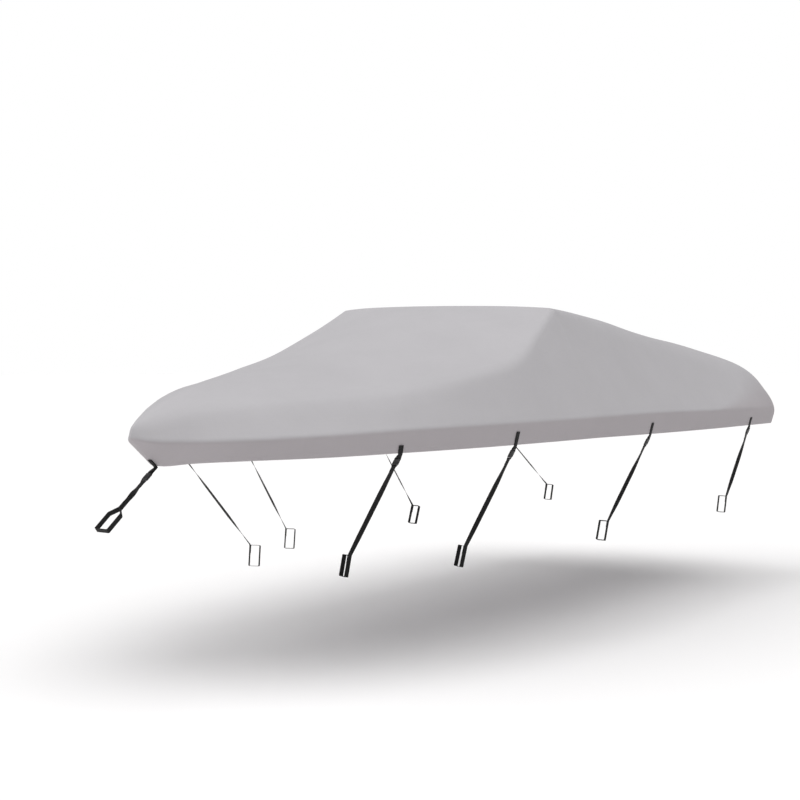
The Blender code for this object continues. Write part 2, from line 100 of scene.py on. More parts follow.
def add_node(tree, kind, settings=None, **inputs):
    """A node with its settings; an input is a value or another node's output socket."""
    node = tree.nodes.new(kind)
    for key, value in (settings or {}).items():
        setattr(node, key, value)
    for key, value in inputs.items():
        socket = node.inputs[int(key[1:]) if key[0] == "i" and key[1:].isdigit() else key]
        if isinstance(value, bpy.types.NodeSocket):
            tree.links.new(value, socket)
        else:
            socket.default_value = value
    return node


def make_camera():
    data = bpy.data.cameras.new("camera")
    data.lens = CAMERA_LENS
    data.sensor_width = SENSOR
    data.clip_end = CAMERA_REACH
    camera = put(bpy.data.objects.new("camera", data))
    camera.location = CAMERA_AT
    camera.rotation_euler = (math.pi / 2 - CAMERA_TILT, 0.0, -CAMERA_TURN)
    bpy.context.scene.camera = camera


def make_floor():
    bm = bmesh.new()
    bmesh.ops.create_circle(bm, cap_ends=True, segments=FLOOR_SIDES, radius=FLOOR_RADIUS)
    bmesh.ops.translate(bm, verts=bm.verts, vec=(0.0, 0.0, FLOOR_Z))
    mesh = bpy.data.meshes.new("floor")
    bm.to_mesh(mesh)
    bm.free()
    floor = put(bpy.data.objects.new("floor", mesh))
    paint, _, shader = new_material("white_studio_floor")
    shader.inputs["Base Color"].default_value = srgb("#FAF9F9")
    shader.inputs["Roughness"].default_value = FLOOR_ROUGHNESS
    mesh.materials.append(paint)


def soft_sun(name, turn, height, strength):
    """Wide soft light from far off; turn 0 is from the bow and 90 from port, height in degrees."""
    data = bpy.data.lights.new(name, "SUN")
    data.energy = strength
    data.angle = math.radians(SUN_WIDTH)
    turn, height = math.radians(turn), math.radians(height)
    source = Vector((
        -math.cos(turn) * math.cos(height), -math.sin(turn) * math.cos(height), math.sin(height),
    ))
    lamp = put(bpy.data.objects.new(name, data))
    lamp.rotation_euler = source.to_track_quat("Z", "Y").to_euler()


def make_light():
    world = bpy.data.worlds.new("studio")
    world.use_nodes = True
    tree = world.node_tree
    fill = tree.nodes["Background"]
    fill.inputs["Color"].default_value = srgb("#FFFFFF")
    fill.inputs["Strength"].default_value = FILL
    backdrop = add_node(tree, "ShaderNodeBackground", Color=srgb("#FFFFFF"), Strength=BACKDROP)
    seen = add_node(tree, "ShaderNodeLightPath").outputs["Is Camera Ray"]
    mix = add_node(
        tree, "ShaderNodeMixShader", Fac=seen, i1=fill.outputs[0], i2=backdrop.outputs[0],
    )
    tree.links.new(mix.outputs[0], tree.nodes["World Output"].inputs["Surface"])
    bpy.context.scene.world = world
    for lamp in SUNS:
        soft_sun(*lamp)
    bpy.context.scene.view_settings.view_transform = "Standard"


# ---------------------------------------------------------------- the cloth's form

# One side of the cover from bow to stern, as its solid has it. gunwale = crease over the rub
# rail; shoulder = where the sides turn into the top; crown = centre line; lift = fullness of
# the top; soft = reach of the shoulder's rounding; rake, drop = from the crease to the hem.
COLUMNS = (
    "gunwale_x half_beam gunwale_z shoulder_x shoulder_y shoulder_z crown_x crown_z lift soft rake drop"
).split()
STATIONS = {
    "stem":     (-2.402, .000, -.637, -2.400, .000, -.596, -2.380, -.575, .004, .03, .157, .138),
    "nose":     (-2.365, .058, -.650, -2.352, .042, -.581, -2.318, -.537, .008, .04, .120, .126),
    "bow":      (-2.260, .158, -.658, -2.232, .115, -.540, -2.150, -.468, .022, .06, .082, .107),
    "foredeck": (-2.060, .350, -.655, -2.015, .265, -.502, -1.900, -.404, .045, .08, .030, .099),
    "entry":    (-1.760, .590, -.641, -1.710, .480, -.472, -1.560, -.358, .045, .10, .010, .105),
    "locker":   (-1.360, .795, -.625, -1.330, .680, -.442, -1.190, -.318, .045, .10, .000, .112),
    "deck":     (-.860, .945, -.618, -.850, .815, -.375, -.860, -.253, .045, .08, .000, .115),
    "foot":     (-.380, 1.015, -.617, -.390, .855, -.280, -.520, -.148, .045, .045, .000, .116),
    "pillar":   (-.120, 1.038, -.617, -.130, .800, -.154, -.245, -.060, .040, .035, .000, .117),
    "screen":   (.180, 1.052, -.617, .132, .747, -.018, .000, .000, .025, .03, .000, .119),
    "cockpit":  (.840, 1.058, -.622, .840, .720, -.080, .840, -.050, .045, .14, .000, .126),
    "seats":    (1.640, 1.055, -.640, 1.640, .710, -.193, 1.640, -.138, .045, .18, .000, .120),
    "aft":      (2.240, 1.049, -.653, 2.200, .730, -.262, 2.040, -.190, .045, .20, .000, .113),
    "hip":      (2.540, 1.044, -.658, 2.480, .832, -.334, 2.160, -.206, .045, .20, .000, .111),
    "quarter":  (2.690, 1.032, -.661, 2.615, .848, -.365, 2.220, -.215, .045, .20, .000, .110),
    "corner":   (2.850, .935, -.664, 2.750, .780, -.382, 2.300, -.228, .045, .20, .000, .110),
    "turn":     (2.884, .815, -.665, 2.782, .688, -.379, 2.322, -.232, .045, .195, .000, .110),
    "transom":  (2.898, .450, -.666, 2.799, .390, -.351, 2.341, -.235, .045, .18, .000, .110),
    "stern":    (2.902, .000, -.666, 2.802, .000, -.345, 2.350, -.237, .045, .18, .000, .110),
}
RIDGE = "screen"          # the one station where the top folds over an edge
HEM_INSET = 0.032
GUNWALE_ROUND = 0.018
STERN_ROUND = 0.030       # more than that round the stern, and twice as much above the crease
LOOSE_FROM = 0.07         # before the quarter, where the crease starts to open out
LOOSE_FULL = 0.05         # past the quarter, where it is open
ROUND_LIMIT = 0.45        # no rounding reaches further than this share of its side
PULL_SHARES = (0.2, 0.9)  # of the way in from the shoulder, where the top turns level
LEAST_RISE = 0.0001
SKIN = 0.0025             # the solid's outer face, off the table's own surface
CLOTH = 0.8 * MM          # the real cloth is about 0.5 mm
LINE_STEP = 0.020         # between the surface's lines across the boat
STEM_LINES = (0.004, 0.009, 0.014)
RIDGE_LINES = (-0.012, -0.005, 0.005, 0.012)
TINY = 1e-6
WELD = 0.02 * MM

# The hem is folded inwards round an elastic cord: height above its edge, and depth inside
HEM_FOLD = (
    (28.0, -3.2), (20.0, -3.4), (12.0, -4.4), (7.0, -5.6), (3.5, -5.9), (1.0, -5.0),
    (-0.3, -3.3), (0.0, -1.5), (1.6, -0.4), (4.5, 0.0),
)
HEM_BAND = (9.0, 15.0, 19.0, 21.0, 22.0, 23.0, 25.0, 29.0, 34.0)
HEM_STITCH = 22 * MM      # the seam that closes the hem
HEM_STEP = 0.5 * MM       # one layer of cloth less above it
HEM_STEP_REACH = 2 * MM
STITCH_GROOVE = 0.4 * MM
STITCH_REACH = 1.2 * MM
# Where the skirt's creases fade in above the hem and out below the crease, and the side's fade in
SKIRT_IN = (0.02, 0.04)
SKIRT_OUT = (0.035, 0.005)
SIDE_IN = (0.02, 0.12)
PULL_DEPTH = 0.7 * MM     # at the tabs
PULL_REACH = 0.030
FAN_RISE = 0.5 * MM
FAN_FROM = 0.035          # below the tab's end, where its creases come together
FAN_CREASES = 7.0         # turns of the wave that makes them, in a full circle
FAN_AT = 0.065            # from there to where they are deepest
FAN_REACH = 0.035
FAN_CLEAR = (0.25, 0.6)   # the tab itself has none
PULL_LINE = 1.6 * MM
PULL_LINE_LEAN = 0.35
PULL_LINE_REACH = 0.045
PULL_LINE_AT = 0.12       # above the crease, and how far it reaches there
GATHER = 1.1 * MM
GATHER_PITCH = 0.047
GATHER_STERN = 0.16
GATHER_BOW = 0.14
GATHER_IN = (0.0, 0.03)
GATHER_OUT = (0.04, 0.09)
FOLD_RISE = 3.0 * MM
FOLD_WIDTH = 0.030
FOLD_STARTS = (0.10, 0.45)
FOLD_ENDS = (1.90, 2.40)
STERN_FROM = 0.085        # before the quarter
STERN_WHOLE = 0.10        # past the quarter
STERN_FULL = 4 * MM
STERN_FULL_AT = 0.2       # of the way from the crease to the shoulder
STERN_FULL_REACH = 0.08
STERN_FLARE = 4 * MM
STERN_FLARE_OVER = 0.04   # above the crease, where it is gone
WAVES_CALM = (0.35, 0.8)  # of the way from the hem to the centre line, at the stern
SLACK_WAVES = (           # length along, height, rise and start of each wave
    (1.35, 1.10, 1.6 * MM, 0.4),
    (0.62, -0.80, 0.7 * MM, 2.1),
    (2.30, 0.70, 1.2 * MM, 4.0),
)
PAINTED_SHADE_FADE = 8 * MM       # from the crease to where the skirt's painted shade, or the top's plain tone, is full
STERN_PAINTED_SHADE_REACH = 0.34         # more than that above the crease at the stern's corners, where the painted shade reaches up their rounding
MEETING = np.array((2.335, 0.0, -0.234))   # where the stern's lines all but meet
MEETING_CORE = 0.05
MEETING_REACH = 0.22
SLOPE_AT_MEETING = np.array((0.185, 0.0, 1.0))
SKIRT_STRIPS = 7
GUNWALE_STRIPS = 8
SIDE_STRIPS = 12
SHOULDER_STRIPS = 9
TOP_STRIPS = 14


def outline_curves():
    """Station rows, length along the gunwale at each, and the slopes into and out of each."""
    rows = np.array(list(STATIONS.values()))
    at = np.concatenate([[0.0], np.cumsum(np.linalg.norm(np.diff(rows[:, :3], axis=0), axis=1))])
    spans = np.diff(at)[:, None]
    chords = np.diff(rows, axis=0) / spans
    slopes = np.empty_like(rows)
    slopes[1:-1] = (chords[:-1] * spans[1:] + chords[1:] * spans[:-1]) / (spans[1:] + spans[:-1])
    sideways = np.isin(COLUMNS, ("half_beam", "shoulder_y"))
    slopes[0] = np.where(sideways, chords[0], 0.0)
    slopes[-1] = np.where(sideways, chords[-1], 0.0)
    into, out = slopes.copy(), slopes.copy()
    ridge = list(STATIONS).index(RIDGE)
    # no bending right at the ridge, so that the cloth folds there
    into[ridge, 3:] = 1.5 * chords[ridge - 1, 3:] - 0.5 * slopes[ridge - 1, 3:]
    out[ridge, 3:] = 1.5 * chords[ridge, 3:] - 0.5 * slopes[ridge + 1, 3:]
    return rows, at, into, out


ROWS, AT_STATION, SLOPES_IN, SLOPES_OUT = outline_curves()
LENGTH = AT_STATION[-1]
RIDGE_AT = AT_STATION[list(STATIONS).index(RIDGE)]
SEATS_AT = AT_STATION[list(STATIONS).index("seats")]
QUARTER_AT = AT_STATION[list(STATIONS).index("quarter")]
CORNER_AT = AT_STATION[list(STATIONS).index("corner")]


def stations_at(s):
    """The table's values at each length s along the gunwale, by column name."""
    i = np.clip(np.searchsorted(AT_STATION, s, side="left") - 1, 0, len(ROWS) - 2)
    span = (AT_STATION[i + 1] - AT_STATION[i])[:, None]
    t = ((s - AT_STATION[i]) / span[:, 0])[:, None]
    start = 2 * t ** 3 - 3 * t ** 2 + 1
    values = (
        start * ROWS[i] + (t ** 3 - 2 * t ** 2 + t) * span * SLOPES_OUT[i]
        + (1 - start) * ROWS[i + 1] + (t ** 3 - t ** 2) * span * SLOPES_IN[i + 1]
    )
    return dict(zip(COLUMNS, values.T))


def stack(x, y, z):
    return np.stack(np.broadcast_arrays(x, y, z), axis=1)


def outward(s):
    """Level direction away from the boat, square to the gunwale."""
    reach = 0.001
    a = stations_at(np.maximum(s - reach, 0.0))
    b = stations_at(np.minimum(s + reach, LENGTH))
    along = stack(b["gunwale_x"] - a["gunwale_x"], b["half_beam"] - a["half_beam"], 0.0)
    along /= np.linalg.norm(along, axis=1)[:, None]
    found = stack(-along[:, 1], along[:, 0], 0.0)
    found[s < reach] = (-1.0, 0.0, 0.0)
    found[s > LENGTH - reach] = (1.0, 0.0, 0.0)
    return found


def ease(x, low, high):
    t = np.clip((x - low) / (high - low), 0.0, 1.0)
    return t * t * (3 - 2 * t)


def hump(x, width):
    return np.exp(-(x / width) ** 2)


def towards(start, end, reach):
    step = end - start
    size = np.maximum(np.linalg.norm(step, axis=1), TINY)
    return start + step * np.minimum(reach / size, ROUND_LIMIT)[:, None]


def straight(a, b, shares):
    return [a * (1 - t) + b * t for t in shares]


def even(strips):
    return np.arange(strips) / strips


def curve(a, pull, b, strips):
    return [a * (1 - t) ** 2 + pull * 2 * t * (1 - t) + b * t ** 2 for t in even(strips)]


def sections(s):
    """Points up each section from the hem to the crown: an array of lines, points, xyz."""
    st = stations_at(s)
    gunwale = stack(st["gunwale_x"], st["half_beam"], st["gunwale_z"])
    shoulder = stack(st["shoulder_x"], st["shoulder_y"], st["shoulder_z"])
    # along the centre line no line lies behind the next, not even by a hair's breadth
    crown = stack(np.maximum.accumulate(st["crown_x"]), 0.0, st["crown_z"])
    stem = s < LENGTH / 2
    inset = np.where(stem, np.minimum(HEM_INSET, st["half_beam"] / 2), HEM_INSET)[:, None]
    hem = gunwale - outward(s) * inset + stack(st["rake"], 0.0, -st["drop"])
    # past the last tabs the cloth hangs looser, and the crease opens out
    loose = STERN_ROUND * ease(s, QUARTER_AT - LOOSE_FROM, QUARTER_AT + LOOSE_FULL)
    below = towards(gunwale, hem, GUNWALE_ROUND + loose)
    above = towards(gunwale, shoulder, GUNWALE_ROUND + 2 * loose)
    side_end = towards(shoulder, gunwale, st["soft"])
    aim = crown + stack(0.0, 0.0, st["lift"])
    top_start = towards(shoulder, aim, st["soft"])
    rise = np.maximum(aim[:, 2] - top_start[:, 2], LEAST_RISE)
    share = np.clip((crown[:, 2] - top_start[:, 2]) / rise, *PULL_SHARES)
    pull = stack(crown[:, 0], top_start[:, 1] * (1 - share), crown[:, 2])
    skirt = np.linalg.norm(below - hem, axis=1)
    points = []
    for height in [h for h, _ in HEM_FOLD] + list(HEM_BAND):
        points.append(hem + (below - hem) * (height * MM / skirt)[:, None])
    band = (HEM_BAND[-1] * MM / skirt)[:, None]
    for t in even(SKIRT_STRIPS)[1:]:
        points.append(hem + (below - hem) * (band + (1 - band) * t))
    points += curve(below, gunwale, above, GUNWALE_STRIPS)
    points += straight(above, side_end, even(SIDE_STRIPS))
    points += curve(side_end, shoulder, top_start, SHOULDER_STRIPS)
    points += curve(top_start, pull, crown, TOP_STRIPS)
    points.append(crown)
    return np.stack(points, axis=1)


def line_lengths():
    """Where the surface's lines run across it, closer together at the stem and the ridge."""
    count = round(LENGTH / LINE_STEP)
    s = np.linspace(0.0, LENGTH, count + 1)
    near = np.abs(s - RIDGE_AT).argmin()
    s[near] = RIDGE_AT
    return np.unique(np.concatenate([s, STEM_LINES, RIDGE_AT + np.array(RIDGE_LINES)]))


def surface_normals(grid):
    """Outward normals of half the surface; past the centre line it goes on as its mirror image."""
    flip = np.array((1.0, -1.0, 1.0))
    wide = np.concatenate([grid[1:2] * flip, grid, grid[-2:-1] * flip], axis=0)
    along = wide[2:] - wide[:-2]
    tall = np.concatenate([grid[:, :1], grid, grid[:, -2:-1] * flip], axis=1)
    up = tall[:, 2:] - tall[:, :-2]
    normals = np.cross(up, along)
    normals /= np.maximum(np.linalg.norm(normals, axis=2), TINY)[..., None]
    normals[0, -1] = normals[0, -2]
    if normals[len(grid) // 2, -1, 2] < 0:
        normals = -normals
    # the stern's lines lie too close together at their meeting to tell a direction
    stern = SLOPE_AT_MEETING / np.linalg.norm(SLOPE_AT_MEETING)
    off = np.linalg.norm(grid - MEETING, axis=2)
    share = (1 - ease(off, MEETING_CORE, MEETING_REACH))[..., None]
    normals = normals * (1 - share) + stern * share
    return normals / np.maximum(np.linalg.norm(normals, axis=2), TINY)[..., None]


def tab_places(s, grid):
    """Length along the gunwale and height of each side tab's upper end, on the port side."""
    found = []
    for node in sorted(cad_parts):
        if node.startswith("tab_port_"):
            top = np.array(max(rings_of(node)[0], key=lambda point: point.z)) * (1.0, -1.0, 1.0)
            line = np.linalg.norm(grid[:, 0] - top, axis=1).argmin()
            found.append((s[line], np.linalg.norm(top - grid[line, 0])))
    return found


def cloth_relief(s, height, gunwale, shoulder, tabs):
    """How far the taut cloth stands off its plain form, for lengths s and heights above the hem."""
    s = s[:, None]
    relief = -HEM_STEP * ease(height, HEM_STITCH, HEM_STITCH + HEM_STEP_REACH)
    relief -= STITCH_GROOVE * hump(height - HEM_STITCH, STITCH_REACH)
    skirt = ease(height, *SKIRT_IN) * (1 - ease(height, *(gunwale - off for off in SKIRT_OUT)))
    side = ease(height, *(gunwale + off for off in SIDE_IN))
    for at, top in tabs:
        off, above = s - at, height - top
        # drawn in round the sewn end, and faint creases that fan out from it
        relief -= PULL_DEPTH * hump(off, PULL_REACH) * hump(above, PULL_REACH)
        turn = np.arctan2(off, above + FAN_FROM)
        reach = np.hypot(off, above + FAN_FROM)
        fan = np.cos(FAN_CREASES * turn) * hump(reach - FAN_AT, FAN_REACH)
        fan *= ease(np.abs(turn), *FAN_CLEAR)
        relief += FAN_RISE * fan * skirt
        # one soft tension line from each tab on up the side
        lean = off - PULL_LINE_LEAN * (height - gunwale)
        line = hump(lean, PULL_LINE_REACH) * side
        relief += PULL_LINE * line * hump(height - gunwale - PULL_LINE_AT, PULL_LINE_AT)
    # slight gathers where the elastic hem rounds the stern's corners and the bow
    ends = hump(s - CORNER_AT, GATHER_STERN) + hump(s, GATHER_BOW)
    ripple = GATHER * ends * np.sin(2 * math.pi * s / GATHER_PITCH)
    relief += ripple * ease(height, *GATHER_IN) * (1 - ease(height, *GATHER_OUT))
    # the looser cloth round the stern stands fuller above the crease, and its skirt hangs out
    stern = ease(s, QUARTER_AT - STERN_FROM, QUARTER_AT + STERN_WHOLE)
    full_at = gunwale + STERN_FULL_AT * (shoulder - gunwale)
    relief += STERN_FULL * stern * hump(height - full_at, STERN_FULL_REACH)
    relief += STERN_FLARE * stern * (1 - ease(height, 0.0, gunwale + STERN_FLARE_OVER))
    # the fold where the foredeck's top meets its side
    fold = ease(s, *FOLD_STARTS) * (1 - ease(s, *FOLD_ENDS))
    relief += FOLD_RISE * fold * hump(height - shoulder, FOLD_WIDTH)
    # the slack that is left between the tabs: long, low waves, gone where the stern's lines meet
    meeting = ease(s, SEATS_AT, QUARTER_AT) * ease(height / height[:, -1:], *WAVES_CALM)
    for wide, tall, rise, start in SLACK_WAVES:
        wave = rise * np.sin(2 * math.pi * (s / wide + height / tall) + start)
        relief += wave * side * (1 - meeting)
    return relief


def build_cover(finish):
    s = line_lengths()
    grid = sections(s)
    folds = len(HEM_FOLD)
    plain = grid[:, folds - 1:]
    normals = surface_normals(plain)
    normals = np.concatenate([np.repeat(normals[:, :1], folds - 1, axis=1), normals], axis=1)
    steps = np.linalg.norm(np.diff(plain, axis=1), axis=2)
    height = np.concatenate([np.zeros((len(s), 1)), np.cumsum(steps, axis=1)], axis=1)
    height += HEM_FOLD[-1][0] * MM
    crease = len(HEM_BAND) + SKIRT_STRIPS + GUNWALE_STRIPS // 2
    gunwale = height[:, crease:crease + 1]
    turn = crease + GUNWALE_STRIPS // 2 + SIDE_STRIPS + SHOULDER_STRIPS // 2
    shoulder = height[:, turn:turn + 1]
    depth = np.array([d for _, d in HEM_FOLD] + [0.0] * (grid.shape[1] - folds)) * MM
    off = np.repeat(SKIN + depth[None, :], len(s), axis=0)
    relief = cloth_relief(s, height, gunwale, shoulder, tab_places(s, grid))
    off[:, folds - 1:] += relief
    off[:, :folds - 1] += relief[:, :1]
    grid = grid + normals * off[..., None]
    grid[0, :, 1] = grid[-1, :, 1] = grid[:, -1, 1] = 0.0
    turned_in = np.array([-h for h, _ in HEM_FOLD[:-1]])[None, :].repeat(len(s), 0) * MM
    height = np.concatenate([turned_in, height], axis=1)

    bm = bmesh.new()
    uv = bm.loops.layers.uv.new("cloth")
    # each point's share of the top's plain tone; the rest takes the skirt's painted shade, which
    # reaches far up the stern's corners
    above = bm.verts.layers.float.new("clear_of_painted_shade")
    fade = PAINTED_SHADE_FADE + STERN_PAINTED_SHADE_REACH * ease(s, SEATS_AT, CORNER_AT)[:, None]
    unshaded_share = ease(height, gunwale - PAINTED_SHADE_FADE, gunwale + fade)
    lines = []
    for i, line in enumerate(grid):
        verts = [bm.verts.new(point) for point in line]
        for k, vert in enumerate(verts):
            vert[above] = unshaded_share[i, k]
        lines.append(verts)
    for fore, back in zip(lines, lines[1:]):
        for k in range(len(fore) - 1):
            face = bm.faces.new((fore[k], fore[k + 1], back[k + 1], back[k]))
            face.smooth = True
    bmesh.ops.mirror(
        bm, geom=bm.verts[:] + bm.edges[:] + bm.faces[:], matrix=Matrix.Identity(4),
        merge_dist=WELD, axis="Y",
    )
    bmesh.ops.remove_doubles(bm, verts=bm.verts, dist=WELD)
    bmesh.ops.recalc_face_normals(bm, faces=bm.faces)
    top = max(bm.faces, key=lambda face: face.calc_center_median().z)
    if top.normal.z < 0:
        bmesh.ops.reverse_faces(bm, faces=bm.faces)
    # the threads run fore and aft, across and upright, as the panels are cut
    for face in bm.faces:
        facing = max(range(3), key=lambda axis: abs(face.normal[axis]))
        for loop in face.loops:
            loop[uv].uv = [loop.vert.co[axis] for axis in range(3) if axis != facing]
    cover = piece_from(bm, "cover_cloth", finish)
    wall = cover.modifiers.new("cloth", "SOLIDIFY")
    wall.thickness = CLOTH
    wall.offset = -1.0
    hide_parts("cover")
    return cover


# ---------------------------------------------------------------- webbing

WEB_WIDTH = 25 * MM
WEB_THICKNESS = 1.6 * MM
WEB_STEP = 5 * MM
WEB_BEND = 6 * MM         # how far a bend reaches into the straight next to it
SAME = 0.01 * MM
LAP_CLOSE = 3.4 * MM      # between places on two layers sewn together
LAP_APART = 30 * MM       # along the webbing, before another stretch of it counts as a layer
LAP_LEAST = 12 * MM
LAP_MARGIN = 3 * MM
SEAM_HALF = 9.5 * MM
LAP_END = 2.0             # past this many half lengths a place is off the lap
FAR_FROM_LAP = 9.0
# Half the webbing's cross-section in mm, from one selvedge over the face to the other
WEB_EDGE = (
    (-12.5, 0.0), (-12.38, 0.42), (-12.0, 0.68), (-11.3, 0.8), (-6.0, 0.8), (0.0, 0.8),
    (6.0, 0.8), (11.3, 0.8), (12.0, 0.68), (12.38, 0.42),
)


def rings_of(node):
    """The middle of each ring of four corners along a CAD strip, and the direction across it."""
    bm = bmesh.new()
    bm.from_mesh(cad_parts[node].data)
    bmesh.ops.remove_doubles(bm, verts=bm.verts, dist=SAME)
    diagonal = math.hypot(WEB_WIDTH, WEB_THICKNESS)

    def is_cap(face):
        sides = sorted(edge.calc_length() for edge in face.edges)
        wanted = (WEB_THICKNESS, WEB_WIDTH, diagonal)
        return all(abs(a - b) < SAME for a, b in zip(sides, wanted))

    cap = next(face for face in bm.faces if is_cap(face))
    longest = max(cap.edges, key=lambda edge: edge.calc_length())
    ring = {v for face in longest.link_faces for v in face.verts}
    seen = set(ring)
    middles, across = [], []
    while ring:
        corners = [v.co.copy() for v in ring]
        mate = min(corners[1:], key=lambda c: (c - corners[0]).length)
        others = [c for c in corners[1:] if c is not mate]
        side = ((corners[0] + mate) / 2 - (others[0] + others[1]) / 2).normalized()
        if across and side.dot(across[-1]) < 0:
            side.negate()
        middles.append(sum(corners, Vector()) / 4)
        across.append(side)
        ring = {e.other_vert(v) for v in ring for e in v.link_edges} - seen
        seen |= ring
    bm.free()
    return middles, across


def smooth_path(points, step):
    """A smooth curve through the points, in parts of about that step."""
    found = []
    last = len(points) - 1
    for i in range(last):
        before, a = points[max(i - 1, 0)][0], points[i][0]
        b, after = points[i + 1][0], points[min(i + 2, last)][0]
        span = (b - a).length
        # a long stretch between two bends stays straight, clear of the layer next to it
        reach = min(span, WEB_BEND)
        leave = (b - before) * (reach / max((b - a).length + (a - before).length, TINY))
        arrive = (after - a) * (reach / max((b - a).length + (after - b).length, TINY))
        parts = max(2, math.ceil(span / step))
        for k in range(parts):
            t = k / parts
            place = (
                a * (2 * t ** 3 - 3 * t ** 2 + 1) + leave * (t ** 3 - 2 * t ** 2 + t)
                + b * (3 * t ** 2 - 2 * t ** 3) + arrive * (t ** 3 - t ** 2)
            )
            eased = t * t * (3 - 2 * t)
            found.append((place, points[i][1].lerp(points[i + 1][1], eased).normalized()))
    found.append(points[-1])
    return found


def laps_of(path, along_at, sewn_from):
    """For each place on the path, how far along the nearest sewn lap it is: -1 to 1 on its seam."""
    places = np.array([place for place, _ in path])
    along_at = np.array(along_at)
    close = np.linalg.norm(places[:, None] - places[None], axis=2) < LAP_CLOSE
    close &= np.abs(along_at[:, None] - along_at[None]) > LAP_APART
    close &= (along_at >= sewn_from)[:, None] & (along_at >= sewn_from)[None]
    sewn = np.concatenate([[False], close.any(axis=1), [False]]).astype(int)
    starts, ends = np.flatnonzero(np.diff(sewn) == 1), np.flatnonzero(np.diff(sewn) == -1) - 1
    shares = np.full(len(path), FAR_FROM_LAP)
    for start, end in zip(along_at[starts], along_at[ends]):
        if end - start > LAP_LEAST:
            share = (along_at - (start + end) / 2) / ((end - start) / 2 - LAP_MARGIN)
            shares = np.where(np.abs(share) < np.abs(shares), share, shares)
    return shares


def strap_route(node):
    """A strap's rings in order from its free tail, which lies by the buckle."""
    route = list(zip(*rings_of(node)))
    low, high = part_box(node.replace("strap", "buckle_plug"))
    middle = (low + high) / 2
    if (route[0][0] - middle).length > (route[-1][0] - middle).length:
        route.reverse()
    return route


def build_web(node, finish):
    """Woven webbing along the middle of the CAD strip, with soft selvedges."""
    strap = node.startswith("strap_")
    path = smooth_path(strap_route(node) if strap else list(zip(*rings_of(node))), WEB_STEP)
    edge = [(x * MM, y * MM) for x, y in WEB_EDGE]
    edge += [(-x, -y) for x, y in edge]
    bm = bmesh.new()
    uv = bm.loops.layers.uv.new("webbing")
    lap_uv = bm.loops.layers.uv.new("lap")
    rings = []
    along_at = [0.0]
    for (a, _), (b, _) in zip(path, path[1:]):
        along_at.append(along_at[-1] + (b - a).length)
    # a strap's first layers are the buckle's free tail, which isn't sewn down
    laps = laps_of(path, along_at, along_at[-1] / 2 if strap else 0.0)
    where, lap_at = {}, {}
    for i, (place, side) in enumerate(path):
        along = (path[min(i + 1, len(path) - 1)][0] - path[max(i - 1, 0)][0]).normalized()
        side = (side - along * side.dot(along)).normalized()
        out = along.cross(side)
        ring = []
        for x, y in edge:
            vert = bm.verts.new(place + side * x + out * y)
            where[vert] = (x, along_at[i])
            beyond = abs(laps[i]) > LAP_END
            lap_at[vert] = (FAR_FROM_LAP if beyond else x / SEAM_HALF, laps[i])
            ring.append(vert)
        rings.append(ring)
    count = len(edge)
    for a, b in zip(rings, rings[1:]):
        for i in range(count):
            k = (i + 1) % count
            bm.faces.new((a[i], a[k], b[k], b[i])).smooth = True
    bm.faces.new(rings[0])
    bm.faces.new(rings[-1])
    for face in bm.faces:
        for loop in face.loops:
            loop[uv].uv = where[loop.vert]
            loop[lap_uv].uv = lap_at[loop.vert]
    bmesh.ops.recalc_face_normals(bm, faces=bm.faces)
    web = piece_from(bm, node + "_web", finish)
    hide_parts(node)
    return web


# ---------------------------------------------------------------- buckles
# Side-release buckles, in mm: x across, y along the strap from the tab's bar, z off the boat

FRAME_HALF = 1.6             # half the thickness of each frame and bar
FRAME_RIM = 1.1
SHOULDER_HALF = 4.4
SHOULDER_RIM = 1.1
GRIP_HEIGHTS = (3.8, 4.9)
GRIP_RIM = 0.35
PRONG_HALF = 2.7
BUTTON_HALF = 1.5
PRONG_RIM = 0.5
PLUG_BAR_AT = 60.0
SOCKET_OUTSIDE = (17.0, 5.1, 2.6)    # half width, half height, corner
SOCKET_INSIDE = (15.2, 3.7, 1.2)
SOCKET_CROWN = 0.5
WINDOW_HALF = 1.9
WINDOW = (15.0, 29.0)
GRIP_HALF = 8.5
GRIP_SLOPE = 0.6             # from its edge to its sunk floor
# Stations along the socket: y, then how far its outside is drawn in, and its grip sunk
SOCKET_STATIONS = (
    (9.0, 1.1, 0.0), (9.3, 0.5, 0.0), (10.0, 0.1, 0.0), (12.0, 0.0, 0.0), (15.0, 0.0, 0.0),
    (19.0, 0.25, 0.0), (22.0, 0.35, 0.0), (25.0, 0.25, 0.0), (29.0, 0.0, 0.0),
    (30.4, 0.0, 0.0), (30.8, 0.0, 0.6), (31.7, 0.0, 0.6), (32.1, 0.0, 0.0),
    (33.0, 0.0, 0.0), (33.4, 0.0, 0.6), (34.3, 0.0, 0.6), (34.7, 0.0, 0.0),
    (35.6, 0.0, 0.0), (36.0, 0.0, 0.6), (36.9, 0.0, 0.6), (37.3, 0.0, 0.0),
    (39.0, 0.0, 0.0), (39.7, 0.15, 0.0), (40.0, 0.5, 0.0),
)
INSIDE_FROM = 12.0
FOLD_RINGS = (5, 9)          # where the strap's half turn round the plug's bar starts and ends
FLAT_RINGS = (10, 11)        # the straight stretch after it
ROUND_STEPS = 4
RIM_STEPS = 3
LEAST_ROUND = 0.1
SHARP = math.radians(38)
